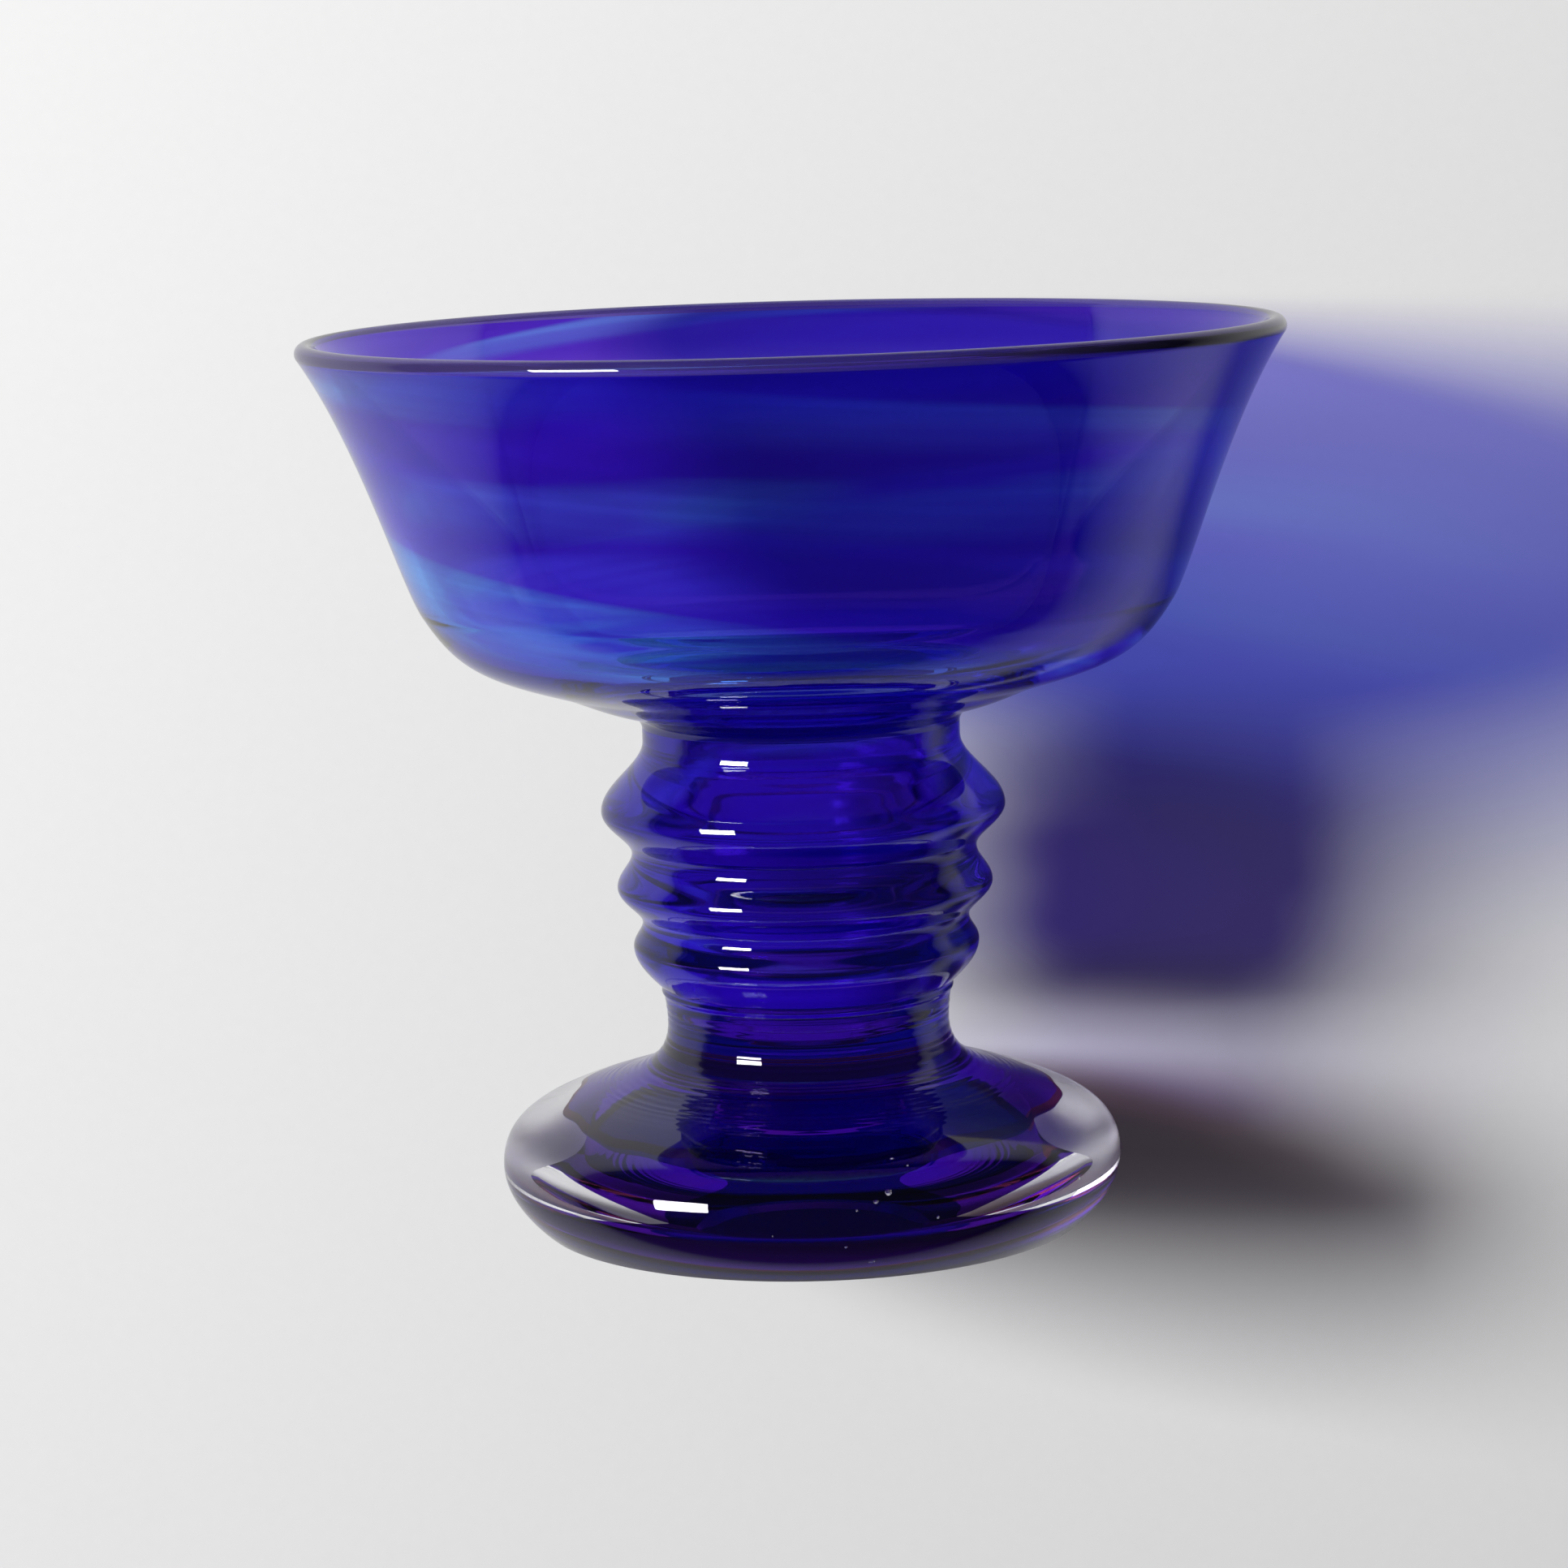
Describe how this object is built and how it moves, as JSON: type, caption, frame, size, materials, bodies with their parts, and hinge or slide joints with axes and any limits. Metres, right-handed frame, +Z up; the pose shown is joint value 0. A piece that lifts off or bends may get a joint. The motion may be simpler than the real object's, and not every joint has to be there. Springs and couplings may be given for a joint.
{
  "type": "footed glass bowl",
  "caption": "Footed blown glass bowl: flared cobalt bowl on a hollow stem with knops, and a thick clear cushion foot gathered over a blue core.",
  "frame": {"origin": "centre of the flat ring under the foot, on the surface that the bowl stands on", "axes": "+Z up along the turned axis, from the foot to the mouth; the form is turned, so +X and +Y are any two level directions"},
  "size_m": [0.1526, 0.1526, 0.14],
  "materials": {
    "cobalt_overlay": "fire-polished cobalt blue glass with paler swirls",
    "merese_blue_glass": "fire-polished solid cobalt blue glass",
    "core_blue_glass": "deep cobalt blue glass buried in clear glass",
    "clear_glass": "fire-polished colourless glass"
  },
  "bodies": {
    "root": {"foot_clear_cushion": "clear_glass", "foot_blue_core": "core_blue_glass", "stem_blue_overlay": "cobalt_overlay", "stem_clear_lining": "clear_glass", "merese": "merese_blue_glass", "bowl_blue_overlay": "cobalt_overlay", "bowl_clear_lining": "clear_glass"}
  },
  "joints": []
}
